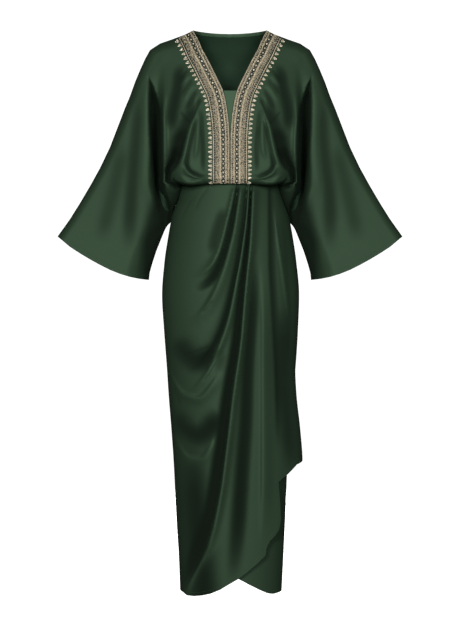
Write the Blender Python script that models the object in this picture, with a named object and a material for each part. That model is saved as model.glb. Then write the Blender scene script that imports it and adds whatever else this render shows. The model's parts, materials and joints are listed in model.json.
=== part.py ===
"""Draped kaftan: a wide-sleeved bodice with a trimmed V neck over a wrapped, pleated skirt.

Metres, +Z up, front towards -Y. The origin is midway between the two neck points of the
shoulders, where the garment is held. Tables use a unit of 2.6 mm: x from the centre line,
drop below the shoulder line. Depths in the tables are millimetres from the side plane.
"""

import math

import bpy
import numpy as np
from mathutils import kdtree
from mathutils.geometry import delaunay_2d_cdt

# Driving sizes
UNIT = 0.0026
CLOTH = 0.0018
SEAM_GAP = 0.0004
VIEW_DISTANCE = 6.0
VIEW_DROP = 283.0
ROLL = 4.4
ROLL_DROP = 150.7
WAIST_WIDTH, WAIST_FRONT, WAIST_BACK = 48.3, 85.0, 85.0
PUFF_WIDTH, TUCK_WIDTH, WAIST_GAP, WAIST_POINTS = 56.8, 55.9, 0.0005, 10
BAND_LIFT, BAND_WALL, BAND_RIB = 0.0003, 0.0012, 0.0011
BAND_END = 155.6
PICOTS = 34
PICOT_DEPTH = 4.6
BINDING_DROP = 3.2
SKIRT_SPAN = 87.0
BODICE_STEP, BACK_STEP, OVER_STEP, SKIRT_STEP = 8.6, 10.0, 10.4, 15.0

# Outlines of the bodice, from the neck point round one side
OVERARM = ((36.5, 0.5), (45, 4.5), (57, 9), (70, 13.5), (80, 20), (85, 29), (90, 40), (95, 52),
           (100, 66), (105, 78), (110, 91), (115, 104), (120, 117), (130, 138), (140, 156),
           (150, 173), (160, 189), (172.5, 206.5))
CUFF = ((172.5, 206.5), (160, 217), (150, 223.5), (140, 229.5), (130, 235), (120, 240),
        (110, 244), (100, 247), (90, 249), (81, 250))
UNDERARM = ((56.9, 152), (57.4, 165), (58.4, 176), (61, 188), (62.6, 195), (65.6, 201),
            (70, 212), (73.6, 221), (77.5, 233), (80.3, 243), (81, 250))
UNDERARM_BY_DROP = tuple((drop, out) for out, drop in UNDERARM)
NECKLINE = ((36.5, 0.5), (31.5, 10), (27, 20), (21.5, 30), (16.5, 40), (11.5, 50), (7, 60),
            (4.3, 70), (2.6, 80), (1.4, 90), (0.6, 100), (0.25, 110), (0.25, BAND_END))
BACK_NECK = ((36.5, 0.5), (30, 1.8), (20, 3.1), (10, 3.8), (0, 4))
BAND_EDGE = ((57, 9), (50, 22), (44, 33), (38, 45), (32.5, 54), (28.5, 64), (26.5, 76),
             (24.8, 88), (23, 102), (21.8, 114), (21, 128), (21, BAND_END))

# Sag of the bloused waist at each distance out, and how far the side drape comes in below it
SAG = ((0, -2.4), (21, -2.4), (25, -2), (28, -1.1), (33, -0.1), (38, 0.9), (43, 0.9), (47, 0.4),
       (50, -0.6), (53, -1.6), (56, -3.4), (58, -4.4), (61, 0), (64, 0))
PULL = ((150, 0), (152.5, 0), (155, 3.4), (158, 7.2), (161, 7.1), (165, 6.4), (170, 5.2),
        (176, 3.2), (180, 2.2), (188, 1.4), (192, 1.0), (195, 0.2), (198, 0))

# Sections of the bodice, distance out and depth: drop, then neck edge, band, chest, drape,
# valley, arm, outer sleeve and seam
FRONT_OUT = (
    (0, 36, 38, 40, 42, 44, 46, 48, 50),
    (9, 32, 37, 42, 47, 50, 53, 56, 60),
    (20, 27, 40, 50, 60, 65, 71, 77, 82),
    (32, 20, 42, 53, 63, 68, 74, 81, 88),
    (50, 11.5, 34, 50, 65, 72, 79, 88, 96),
    (70, 4.3, 27, 48, 65, 74, 82, 93, 103),
    (90, 1.5, 24.5, 48, 66, 72.5, 81, 97, 111),
    (120, 0, 21, 45, 66, 72.5, 81, 102, 122),
    (140, 0, 21, 45, 66, 72.5, 82, 107, 132),
    (153, 0, 21, 42, 65.6, 72.5, 82, 110, 139),
    (170, 0, 21, 42, 62.3, 68.5, 79, 110, 149),
    (192, 0, 21, 42, 56, 64, 77, 112, 164),
    (212, 0, 21, 42, 60, 71, 87, 117, 179),
    (250, 0, 21, 42, 66, 81, 98, 128, 205))
FRONT_DEPTH = (
    (0, 12, 14, 16, 18, 20, 21, 22, 23),
    (9, 30, 30, 30, 30, 30, 30, 30, 28),
    (20, 50, 49, 46, 42, 39, 35, 31, 28),
    (32, 68, 63, 57, 50, 46, 40, 34, 30),
    (50, 88, 86, 78, 62, 50, 46, 38, 32),
    (70, 101, 101, 94, 76, 42, 50, 43, 34),
    (90, 109, 111, 106, 84, 24, 52, 46, 34),
    (120, 114, 116, 113, 86, 12, 50, 46, 32),
    (140, 112, 115, 113, 74, 8, 48, 43, 30),
    (153, 108, 111, 109, 62, 7, 46, 41, 28),
    (170, 98, 100, 95, 42, 8, 42, 39, 26),
    (192, 80, 80, 60, 24, 14, 38, 38, 25),
    (212, 60, 60, 40, 24, 26, 38, 38, 26),
    (250, 50, 50, 30, 24, 28, 38, 38, 28))
BACK_OUT = (
    (0, 0, 15, 28, 36, 44, 50, 56, 62),
    (10, 0, 18, 32, 42, 50, 55, 58, 62),
    (20, 0, 20, 38, 52, 62, 70, 77, 82),
    (40, 0, 22, 42, 58, 68, 76, 84, 92),
    (70, 0, 24, 46, 63, 73, 82, 93, 103),
    (90, 0, 24, 47, 65, 73, 82, 97, 111),
    (120, 0, 22, 45, 65, 72.5, 81, 102, 122),
    (140, 0, 22, 45, 65, 73, 83, 107, 132),
    (153, 0, 21, 42, 63, 72, 83, 110, 139),
    (170, 0, 21, 42, 61, 67, 79, 110, 149),
    (192, 0, 21, 42, 56, 64, 78, 112, 164),
    (212, 0, 21, 42, 60, 71, 87, 117, 179),
    (250, 0, 21, 42, 66, 81, 98, 128, 205))
BACK_DEPTH = (
    (0, 62, 56, 42, 22, 22, 23, 24, 24),
    (10, 74, 70, 56, 40, 34, 31, 29, 28),
    (20, 84, 82, 72, 54, 42, 36, 32, 28),
    (40, 100, 101, 92, 70, 50, 42, 36, 32),
    (70, 108, 110, 104, 80, 46, 50, 43, 34),
    (90, 108, 111, 106, 84, 36, 52, 46, 34),
    (120, 106, 109, 106, 82, 26, 50, 46, 32),
    (140, 104, 108, 105, 70, 20, 48, 43, 30),
    (153, 102, 106, 102, 58, 18, 46, 41, 28),
    (170, 95, 98, 92, 40, 16, 42, 39, 26),
    (192, 80, 80, 60, 26, 22, 38, 38, 25),
    (212, 60, 60, 40, 24, 26, 38, 38, 26),
    (250, 50, 50, 30, 24, 28, 38, 38, 28))

# Rings of the skirt: drop, left, right, front depth, back depth, right side of the over layer
SKIRT_RINGS = (
    (146, 48.3, 48.3, 85, 85, 48.3),
    (154, 48.3, 48.3, 85, 85, 48.3),
    (160, 49.2, 49.6, 87.6, 90, 49.6),
    (170, 51.8, 52.6, 92, 97, 52.6),
    (180, 56.0, 56.5, 96, 104, 56.5),
    (190, 58.8, 59.6, 100, 110, 59.6),
    (210, 62.4, 63.3, 106, 119, 63.3),
    (230, 65.4, 66.2, 110, 125, 66.2),
    (265, 68.0, 69.2, 112, 126, 69.2),
    (300, 66.0, 68.0, 111, 121, 68.0),
    (340, 63.0, 65.4, 108, 112, 65.4),
    (362, 61.6, 62.8, 107, 108, 66.4),
    (400, 58.6, 59.4, 105, 104, 70.4),
    (430, 56.5, 57.6, 104, 101, 72.6),
    (490, 53.5, 55.2, 103, 99, 73.0),
    (530, 51.0, 53.2, 102, 98, 73.0),
    (570, 49.6, 51.2, 101, 97, 73.0))
OVER_HEM = ((-50, 559), (-47, 562), (-43, 565.4), (-36, 566.2), (-28, 565.6), (-20, 564),
            (-10, 560), (0, 554), (8.5, 549), (15, 544), (21, 539), (27, 534), (32, 529),
            (35.6, 525), (36.4, 518), (40, 511), (45, 506), (49, 500), (51, 490),
            (50, 470), (48.6, 452), (53, 448), (57, 445), (62, 440), (67, 434.5), (72.6, 430))
UNDER_HEM = ((-59, 425), (-40, 470), (-22, 515), (-5, 541), (8.5, 549), (20, 555), (30, 560),
             (38, 563.4), (43, 564), (48, 562.5), (51.3, 560))
BACK_HEM = ((-50, 559), (-30, 555), (0, 552.5), (30, 555), (51.4, 560))

# Main folds: height in millimetres, width before and behind the line, and the line itself
BODICE_FOLDS = (
    (-7, 4.0, 4.0, ((51, 42), (52, 55), (56, 70), (58, 85))),
    (6, 3.5, 2.6, ((31, 70), (34, 85), (39, 100), (43, 115), (46, 128), (45, 136))),
    (-7, 3.2, 2.6, ((40, 97), (45, 115), (49, 128), (57, 143))),
    (-26, 3.2, 3.2, ((51, 118), (54, 127), (57, 135), (59.3, 142), (59.8, 150), (59.6, 164))),
    (9, 2.6, 2.6, ((66.5, 84), (66, 110), (66, 140), (65.6, 153), (64, 164), (60, 175))),
    (5, 4.0, 4.0, ((84, 45), (84, 80), (84, 120), (86, 160))),
    (-6, 4.5, 4.5, ((91, 80), (94, 120), (98, 170), (100, 215))))
BACK_FOLDS = (
    (5, 5.0, 3.6, ((20, 50), (26, 85), (34, 120), (40, 148))),
    (-6, 3.6, 4.4, ((28, 60), (35, 95), (44, 130), (54, 150))),
    (4, 4.4, 4.4, ((8, 90), (9, 120), (10, 148))),
    (-22, 3.6, 3.6, ((50, 124), (54, 134), (58.5, 146), (58.5, 160))),
    (5, 4.0, 4.0, ((84, 45), (84, 80), (84, 120), (86, 160))),
    (-6, 4.5, 4.5, ((91, 80), (95, 125), (99, 172), (102, 218))))
SKIRT_FOLDS = (
    (4, 3.4, 2.4, ((5, 158), (2, 175), (-6, 205), (-14, 230), (-24, 242))),
    (-5, 3.0, 3.0, ((9, 158), (5, 180), (-2, 215), (-11, 243), (-26, 262))),
    (6, 3.6, 3.0, ((13, 158), (8, 180), (-1, 219), (-11, 252), (-24, 278), (-37, 291))),
    (-7, 3.4, 3.4, ((16, 158), (13, 185), (6, 232), (-4, 270), (-16, 306))),
    (7, 4.2, 3.2, ((18, 158), (13, 210), (6, 250), (-2, 288), (-14, 320), (-32, 356))),
    (-11, 4.2, 2.2, ((20, 158), (16, 210), (9, 280), (2, 320), (-8, 370), (-28, 462))),
    (12, 2.6, 8.0, ((23, 158), (19, 210), (13, 270), (5, 340), (-3, 400), (-11, 460),
                    (-22, 508), (-40, 552))),
    (5, 2.2, 8.0, ((31.5, 300), (31.5, 350), (31.5, 430), (31, 516))),
    (-7, 3.6, 3.6, ((41, 158), (44, 220), (46, 290), (48, 370), (49, 424))),
    (4, 3.0, 3.0, ((47, 178), (54, 250), (60, 300))))
SKIRT_BACK_FOLDS = (
    (5, 5.0, 5.0, ((-12, 160), (-16, 240), (-20, 340), (-22, 470))),
    (-6, 4.0, 5.0, ((-24, 158), (-31, 250), (-35, 360), (-36, 500))),
    (6, 5.0, 4.0, ((10, 160), (13, 260), (17, 380), (20, 520))),
    (-5, 4.5, 4.5, ((26, 158), (32, 240), (37, 350), (38, 520))),
    (-4, 4.5, 4.5, ((-1, 200), (-3, 300), (-2, 430))))


def through(x, y, at):
    """Smooth curve through stations x, y (last axis), read at one place for each row."""
    at = np.asarray(at, float)
    x = np.broadcast_to(np.asarray(x, float), at.shape + (np.shape(x)[-1],))
    y = np.broadcast_to(np.asarray(y, float), x.shape)
    width = np.maximum(np.diff(x), 1e-6)
    rise = np.diff(y) / width
    product = rise[..., :-1] * rise[..., 1:]
    total = rise[..., :-1] + rise[..., 1:]
    middle = np.where(product > 0, 2 * product / np.where(total == 0, 1, total), 0)
    slope = np.concatenate([rise[..., :1], middle, rise[..., -1:]], axis=-1)
    cell = np.clip((x <= at[..., None]).sum(-1) - 1, 0, x.shape[-1] - 2)[..., None]
    near = [np.take_along_axis(a, cell, -1)[..., 0] for a in (x, width, y, slope)]
    far = [np.take_along_axis(a, cell + 1, -1)[..., 0] for a in (y, slope)]
    t = np.clip((at - near[0]) / near[1], 0, 1)
    return ((1 + 2 * t) * (1 - t) ** 2 * near[2] + t * (1 - t) ** 2 * near[1] * near[3]
            + t * t * (3 - 2 * t) * far[0] + t * t * (t - 1) * near[1] * far[1])


def column(table, index, at):
    """One column of a table of sections, read at any drop."""
    rows = np.array(table, float)
    return through(rows[:, 0], rows[:, index], at)


def away(points, line):
    """Distance of each point from a line, the side it lies on, and how far along it is."""
    line = np.array(line, float)
    start, step = line[:-1], np.diff(line, axis=0)
    length = np.hypot(*step.T)
    offset = points[:, None, :] - start
    t = np.clip((offset * step).sum(-1) / length**2, 0, 1)
    gap = offset - t[..., None] * step
    distance = np.hypot(gap[..., 0], gap[..., 1])
    nearest = distance.argmin(1)
    rows = np.arange(len(points))
    side = np.sign(step[nearest, 0] * gap[rows, nearest, 1] - step[nearest, 1] * gap[rows, nearest, 0])
    share = (np.cumsum(length) - length)[nearest] + t[rows, nearest] * length[nearest]
    return distance[rows, nearest], side, share / length.sum()


def rounded(distance, radius):
    """0 on a seam, rising like a quarter circle to 1 at the radius."""
    t = np.clip(1 - distance / radius, 0, 1)
    return np.sqrt(1 - t * t)


def folds(points, table):
    """Sum of the soft ridges and troughs at each point, in millimetres."""
    total = np.zeros(len(points))
    for height, before, behind, line in table:
        distance, side, share = away(points, line)
        width = np.where(side > 0, before, behind)
        ends = np.sqrt(np.clip(np.minimum(share, 1 - share) * 5, 0, 1))
        total += height * ends * np.exp(-((distance / width) ** 2))
    return total


def placed(x, y, drop):
    """Points from view x (units), depth y (metres) and drop (units), with no perspective."""
    scale = 1 + y / VIEW_DISTANCE
    z = -(VIEW_DROP + (drop - VIEW_DROP) * scale) * UNIT
    return np.stack([x * UNIT * scale, y, z], axis=1)


def bodice_depth(out, drop, front):
    """Depth of the body and sleeve at a distance out and a drop, before its edges close."""
    outs, depths = (FRONT_OUT, FRONT_DEPTH) if front else (BACK_OUT, BACK_DEPTH)
    x = np.stack([column(outs, i, drop) for i in range(1, 9)], axis=1)
    y = np.stack([column(depths, i, drop) for i in range(1, 9)], axis=1)
    return through(x, y, np.maximum(out, x[:, 0]))


def bodice_surface(points, front):
    """The bodice's outer face. Below the waist it rolls under to the skirt's top edge."""
    x, drop = points.T
    out = np.abs(x)
    start = np.where(out < PUFF_WIDTH, ROLL_DROP, 999)
    turn = np.clip((drop - start) / ROLL, 0, math.pi)
    level = np.minimum(drop, start)
    here = np.stack([out, level], axis=1)
    depth = bodice_depth(out, level, front)
    depth += folds(here, BODICE_FOLDS if front else BACK_FOLDS) * rounded(np.abs(out - 21), 8)
    depth *= rounded(away(here, OVERARM)[0], 8) * rounded(away(here, UNDERARM)[0], 6.5)
    face = -1 if front else 1
    inset = (1 - np.cos(turn)) / 2
    share = np.clip(x / TUCK_WIDTH, -1, 1)
    waist_x = share * (WAIST_WIDTH + WAIST_GAP / UNIT)
    waist_depth = (WAIST_FRONT if front else WAIST_BACK) + 1000 * WAIST_GAP
    waist_y = waist_depth * np.sqrt(1 - share**2)
    y = face * ((depth * (1 - inset) + waist_y * inset) * 0.001 + SEAM_GAP / 2)
    fall = np.where(turn > 0, start + ROLL * np.sin(turn), drop)
    lowered = np.clip((drop - 128) / (ROLL_DROP - 128), 0, 1) ** 2 * (1 - inset)
    fall += column(SAG, 1, out) * lowered * (drop < 200)
    beside = np.clip(1 - (out - column(UNDERARM_BY_DROP, 1, drop)) / 9, 0, 1)
    x = x - np.sign(x) * np.where(out >= PUFF_WIDTH, column(PULL, 1, drop) * beside, 0)
    return placed(x + (waist_x - x) * inset, y, fall)


def skirt_surface(points, layer):
    """A layer of the skirt: its place round the ring is the first number of each point."""
    around, drop = points.T
    angle = around / SKIRT_SPAN * math.pi / 2
    inside = np.zeros(len(points))
    if layer == "under":
        inside = 2.2 * (1 - np.clip((drop - 400) / 35, 0, 1) * np.clip(angle, 0, 1))
    right = column(SKIRT_RINGS, 5 if layer == "over" else 2, drop)
    width = np.where(angle < 0, column(SKIRT_RINGS, 1, drop), right) - inside
    x = width * np.sin(angle)
    if layer == "back":
        deep = column(SKIRT_RINGS, 4, drop)
        fold = folds(np.stack([x, drop], axis=1), SKIRT_BACK_FOLDS)
    else:
        deep = column(SKIRT_RINGS, 3, drop) - (17 * np.clip((drop - 150) / 30, 0.25, 1)
                                               if layer == "under" else 0)
        fold = folds(np.stack([x, drop], axis=1), SKIRT_FOLDS) if layer == "over" else 0
    fold = fold * np.clip((drop - 154) / 14, 0, 1) * np.cos(angle)
    face = 1 if layer == "back" else -1
    y = face * (deep * np.cos(angle) * 0.001 + SEAM_GAP / 2 + fold * 0.001)
    return placed(x, y, drop)


def around_of(x, drop, index):
    """Place round the skirt's ring of a point seen from the front."""
    width = np.where(x < 0, column(SKIRT_RINGS, 1, drop), column(SKIRT_RINGS, index, drop))
    return SKIRT_SPAN * np.arcsin(np.clip(x / width, -1, 1)) / (math.pi / 2)


def on_ring(line, index):
    """A line seen from the front, laid out flat on the skirt's ring."""
    line = np.array(line, float)
    return np.stack([around_of(line[:, 0], line[:, 1], index), line[:, 1]], axis=1)


def spaced(line, step):
    """Points at even steps along a line, its ends kept."""
    line = np.array(line, float)
    length = np.concatenate([[0], np.cumsum(np.hypot(*np.diff(line, axis=0).T))])
    count = max(1, round(length[-1] / step))
    at = np.linspace(0, length[-1], count + 1)
    return np.stack([np.interp(at, length, line[:, i]) for i in (0, 1)], axis=1)


def joined(lines):
    """One closed outline from lines that each start where the last one ends."""
    return np.concatenate([np.asarray(line)[:-1] for line in lines])


def inset_line(line, distance):
    """A copy of a line moved sideways, its ends cut back."""
    line = np.asarray(line, float)
    along = np.gradient(line, axis=0)
    along /= np.hypot(*along.T)[:, None]
    return (line + np.stack([-along[:, 1], along[:, 0]], axis=1) * distance)[1:-1]


def inside(points, outline):
    """Which points lie in an outline."""
    x, y = points[:, :1], points[:, 1:]
    a, b = outline, np.roll(outline, -1, axis=0)
    crosses = (a[:, 1] > y) != (b[:, 1] > y)
    rise = np.where(a[:, 1] == b[:, 1], 1, b[:, 1] - a[:, 1])
    return (crosses & (x < (b[:, 0] - a[:, 0]) * (y - a[:, 1]) / rise + a[:, 0])).sum(1) % 2 == 1


def pattern(outline, step, guides=(), cuts=()):
    """Flat net of a panel: outline, lines cut into it, lines that follow folds, even filling."""
    rows = [g[inside(g, outline)] for g in guides]
    points = np.concatenate([outline, *cuts, *rows])
    firm = len(outline) + sum(len(cut) for cut in cuts)
    tree = kdtree.KDTree(len(points))
    for i, point in enumerate(points):
        tree.insert((*point, 0), i)
    tree.balance()
    kept = np.arange(len(points)) < firm
    for i in range(firm, len(points)):
        near = [j for _, j, _ in tree.find_range((*points[i], 0), 0.3 * step)]
        kept[i] = not any(kept[j] for j in near)
    low, high = outline.min(0), outline.max(0)
    grid = np.array([(x + step / 2 * (k % 2), y)
                     for k, y in enumerate(np.arange(low[1], high[1], step * 0.866))
                     for x in np.arange(low[0] - step, high[0] + step, step)])
    grid = grid[inside(grid, outline)]
    clear = [tree.find((*p, 0))[2] > 0.62 * step for p in grid]
    count = len(outline)
    edges = [(i, (i + 1) % count) for i in range(count)]
    begin = count
    for cut in cuts:
        edges += [(begin + i, begin + i + 1) for i in range(len(cut) - 1)]
        begin += len(cut)
    points = np.concatenate([points[kept], grid[clear]])
    found = delaunay_2d_cdt([tuple(p) for p in points], edges, [list(range(count))], 1, 1e-5)
    return np.array([tuple(v) for v in found[0]]), np.array(found[2])


def normals(points, faces):
    """Outward direction at each point, averaged over the faces round it."""
    cross = np.cross(points[faces[:, 1]] - points[faces[:, 0]], points[faces[:, 2]] - points[faces[:, 0]])
    total = np.zeros_like(points)
    for i in range(3):
        np.add.at(total, faces[:, i], cross)
    return total / np.linalg.norm(total, axis=1, keepdims=True)


def outward(points, faces):
    """Faces turned so that they look away from the garment's axis."""
    cross = np.cross(points[faces[:, 1]] - points[faces[:, 0]], points[faces[:, 2]] - points[faces[:, 0]])
    return faces if cross[:, 1].sum() * points[:, 1].mean() > 0 else faces[:, ::-1]


def walled(outer, inner, faces):
    """A closed wall between two faces that share one net."""
    count = len(outer)
    ends = np.concatenate([faces[:, [0, 1]], faces[:, [1, 2]], faces[:, [2, 0]]])
    known = {tuple(e) for e in ends}
    rim = np.array([e for e in ends if (e[1], e[0]) not in known])
    a, b = rim.T
    sides = np.concatenate([np.stack([b, a, a + count], 1), np.stack([b, a + count, b + count], 1)])
    return np.concatenate([outer, inner]), np.concatenate([faces, faces[:, ::-1] + count, sides])


def seam_safe(outer, direction, wall):
    """Inner points of a wall. Along a side seam the wall stays on its own side of the seam."""
    inner = outer - direction * wall
    close = np.abs(outer[:, 1]) < 0.002
    level = direction * (1, 0, 1)
    level /= np.maximum(np.linalg.norm(level, axis=1, keepdims=True), 0.2)
    inner[close] = (outer - level * wall)[close]
    return inner


def used(points, faces):
    """Only the points that these faces use."""
    index, faces = np.unique(faces, return_inverse=True)
    return points[index], faces.reshape(-1, 3), index


def add_piece(name, points, faces, colour, roughness, metallic=0.0):
    mesh = bpy.data.meshes.new(name)
    mesh.from_pydata(points.tolist(), [], faces.tolist())
    mesh.update()
    material = bpy.data.materials.new(name)
    material.use_nodes = True
    shader = material.node_tree.nodes["Principled BSDF"]
    shader.inputs["Base Color"].default_value = (*colour, 1)
    shader.inputs["Roughness"].default_value = roughness
    shader.inputs["Metallic"].default_value = metallic
    mesh.materials.append(material)
    piece = bpy.data.objects.new(name, mesh)
    GARMENT.objects.link(piece)
    return piece


def add_panel(name, net, surface, colour=(0.035, 0.075, 0.04)):
    """A cloth panel: its net laid on a surface and given the cloth's wall."""
    points = surface(net[0])
    faces = outward(points, net[1])
    direction = normals(points, faces)
    inner = seam_safe(points, direction, CLOTH)
    add_piece(name, *walled(points, inner, faces), colour, 0.4)
    return points, inner, faces, direction


def picot_edge():
    """The band's outer edge: a row of small pointed loops from the shoulder to the waist."""
    line = spaced(BAND_EDGE, 0.5)
    along = np.gradient(line, axis=0)
    along /= np.hypot(*along.T)[:, None]
    across = np.stack([-along[:, 1], along[:, 0]], axis=1)
    at = np.linspace(0, len(line) - 1, 2 * PICOTS + 1).round().astype(int)
    depth = np.where(np.arange(len(at)) % 2 == 1, 0, PICOT_DEPTH)
    depth[0] = 0
    return line[at] + across[at] * depth[:, None]


def bodice_outline(step, front):
    """Half of the bodice, from the neck round to the waist and back up the overarm."""
    centre = NECKLINE if front else ((0, 4), (0, BAND_END))
    waist_x = centre[-1][0]
    row = waist_row(1, waist_x, TUCK_WIDTH)
    return joined([spaced(centre, 3.4 if front else step), spaced(((waist_x, BAND_END), row[0]), 3), row,
                   spaced((row[-1], (56.3, 152)), 3), spaced(((56.3, 152), UNDERARM[0]), 5),
                   spaced(UNDERARM[:5], 4.2), spaced(UNDERARM[4:], step), spaced(CUFF[::-1], step),
                   spaced(OVERARM[::-1], step)])


def waist_row(turn, first, last):
    """A row of points round the waist roll, closer together towards the side."""
    angle = np.linspace(0, math.pi / 2, WAIST_POINTS + 1)
    x = np.clip(TUCK_WIDTH * np.sin(angle), first, last)
    return np.stack([x, np.full(len(x), ROLL_DROP + ROLL * math.pi * turn)], axis=1)


def bodice_guides(step, clear_of_band):
    """Lines that carry the bodice's shape: rounded edges, the waist roll and the side drape."""
    over, under = spaced(OVERARM, step), spaced(UNDERARM, step)
    lines = [inset_line(over, distance) for distance in (1.3, 4.5)]
    lines += [inset_line(under, -distance) for distance in (1.3, 4)]
    for turn in (0.0, 0.25, 0.5, 0.75):
        row = waist_row(turn, 0.5, 55.4)
        lines.append(row[3:] if clear_of_band and turn == 0 else row)
    drops = np.arange(48, 190, step * 1.1)
    lines += [np.stack([column(FRONT_OUT, i, drops), drops], axis=1) for i in (4, 5, 6)]
    lines += [spaced(BODICE_FOLDS[i][3], step) for i in (1, 3, 4, 6)]
    if clear_of_band:
        for share in (0.36, 0.5, 0.66):
            lines.append(band_line(share, PICOTS))
    return lines


def band_line(share, count):
    """A line along the band, at a share of its width from the neck edge."""
    inner = spaced(NECKLINE, 0.5)
    outer = spaced(BAND_EDGE, 0.5)
    at = (np.arange(count) + 0.5) / count
    pick = [line[(at * (len(line) - 1)).round().astype(int)] for line in (inner, outer)]
    return pick[0] * (1 - share) + pick[1] * share


def build_fronts():
    """Both bodice fronts, each with its trim band lying on it."""
    outline = bodice_outline(BODICE_STEP, True)
    edge = picot_edge()
    edge[0] = outline[np.hypot(*(outline - edge[0]).T).argmin()]
    centre = spaced(NECKLINE, 3.4)
    edge[-1] = (edge[-1][0], BAND_END)
    bottom = np.array([edge[-1], (14, BAND_END), (7, BAND_END), centre[-1]])
    cut = np.concatenate([edge, bottom[1:]])
    net = pattern(outline, BODICE_STEP, bodice_guides(BODICE_STEP, True), [cut[1:-1]])
    shoulder = spaced(OVERARM[:3], 2)
    band_area = np.concatenate([centre, bottom[::-1][1:], edge[::-1][1:], shoulder[::-1][1:-1]])
    for side, label in ((-1, "right"), (1, "left")):
        flat = (net[0] * (side, 1), net[1])
        points, _, faces, direction = add_panel(
            f"bodice_front_{label}", flat, lambda p: bodice_surface(p, True))
        middle = net[0][faces].mean(1)
        band_faces = faces[inside(middle, band_area)]
        base, band_faces, index = used(points, band_faces)
        out = direction[index]
        from_edge = away(net[0][index], BAND_EDGE)[0]
        height = BAND_LIFT + BAND_WALL + np.where(np.abs(from_edge - 11) < 2, BAND_RIB, 0)
        add_piece(f"neck_band_{label}", *walled(base + out * height[:, None],
                  base + out * BAND_LIFT, band_faces), (0.62, 0.5, 0.27), 0.35, 0.7)


def build_back():
    """The back of the bodice in one piece, with the neckline's binding inside it."""
    half = bodice_outline(BACK_STEP, False)
    neck = spaced(BACK_NECK, 6)
    tuck = ROLL_DROP + ROLL * math.pi
    right = half[np.argmin(np.hypot(half[:, 0], half[:, 1] - tuck)):]
    outline = np.concatenate([right, neck[:-1], neck[::-1] * (-1, 1), right[::-1][:-1] * (-1, 1)])
    outline = outline[np.concatenate([[True], np.hypot(*np.diff(outline, axis=0).T) > 1e-6])]
    below = np.array([(x, y + BINDING_DROP) for x, y in neck[:-1]])
    cut = np.concatenate([below, [(0, 4 + BINDING_DROP)], below[::-1] * (-1, 1)])
    guides = bodice_guides(BACK_STEP, False)
    guides += [g * (-1, 1) for g in guides]
    net = pattern(outline, BACK_STEP, guides, [cut])
    points, inner, faces, direction = add_panel("bodice_back", net, lambda p: bodice_surface(p, False))
    area = np.concatenate([neck, (neck[::-1] * (-1, 1))[1:], cut[::-1]])
    middle = net[0][faces].mean(1)
    strip = faces[inside(middle, area)]
    base, strip, index = used(inner, strip)
    add_piece("back_neck_binding", *walled(base - direction[index] * 0.0003, base - direction[index] * 0.0015,
              strip), (0.05, 0.1, 0.055), 0.45)


def build_modesty_panel():
    """The small panel that fills the point of the neckline, behind both fronts."""
    outline = spaced(((-17, 60.6), (17, 60.6), (11, 145), (-11, 145), (-17, 60.6)), 6)[:-1]

    def surface(points):
        x, drop = points.T
        edge = column(FRONT_OUT, 1, drop)
        depth = bodice_depth(np.maximum(np.abs(x), edge), drop, True) - 2.8
        return placed(x, -depth * 0.001, drop)

    add_panel("modesty_panel", pattern(outline, 6.5), surface, (0.06, 0.12, 0.065))


def skirt_outline(left, hem, right, index, top=149.0):
    """Outline of a skirt panel laid flat: side seams, hem and waist."""
    span = SKIRT_SPAN
    laid = on_ring(hem, index)
    laid[0, 0], laid[-1, 0] = -span, span
    return joined([spaced(((-span, top), (-span, left)), OVER_STEP), spaced(laid, OVER_STEP * 0.75),
                   spaced(((span, right), (span, top)), OVER_STEP),
                   ring_row(top)[::-1]])


def ring_row(drop):
    """A row of points round a skirt panel, in step with the bodice's waist roll."""
    around = np.linspace(-SKIRT_SPAN, SKIRT_SPAN, 2 * WAIST_POINTS + 1)
    return np.stack([around, np.full(len(around), drop)], axis=1)


def build_skirt():
    """The skirt: a back, an under layer and the pleated over layer that wraps across it."""
    guides = [spaced(on_ring(fold[3], 5), OVER_STEP) for fold in SKIRT_FOLDS]
    guides += [inset_line(guides[6], distance) for distance in (-5.5, -11)]
    for name, layer, hem, index, lines in (
            ("skirt_front_over", "over", OVER_HEM, 5, guides),
            ("skirt_front_under", "under", UNDER_HEM, 2, ()),
            ("skirt_back", "back", BACK_HEM, 2, ())):
        outline = skirt_outline(hem[0][1], hem, hem[-1][1], index)
        lines = [ring_row(154.5)[1:-1], *lines]
        add_panel(name, pattern(outline, OVER_STEP if layer == "over" else SKIRT_STEP, lines),
                  lambda p, layer=layer: skirt_surface(p, layer))


for old in list(bpy.data.objects):
    bpy.data.objects.remove(old)
GARMENT = bpy.data.collections.new("draped_kaftan")
bpy.context.scene.collection.children.link(GARMENT)
build_fronts()
build_back()
build_modesty_panel()
build_skirt()
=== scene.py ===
"""Looks of the draped kaftan: fine cloth, folds, beaded trim, stage, light and camera.

The cloth uses the same named sizes as the solids: x from the centre line and drop below the
shoulder in units of 2.6 mm, depths in millimetres.
"""

import json
import math

import bpy
import numpy as np
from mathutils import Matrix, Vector, kdtree
from mathutils.geometry import delaunay_2d_cdt

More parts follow.
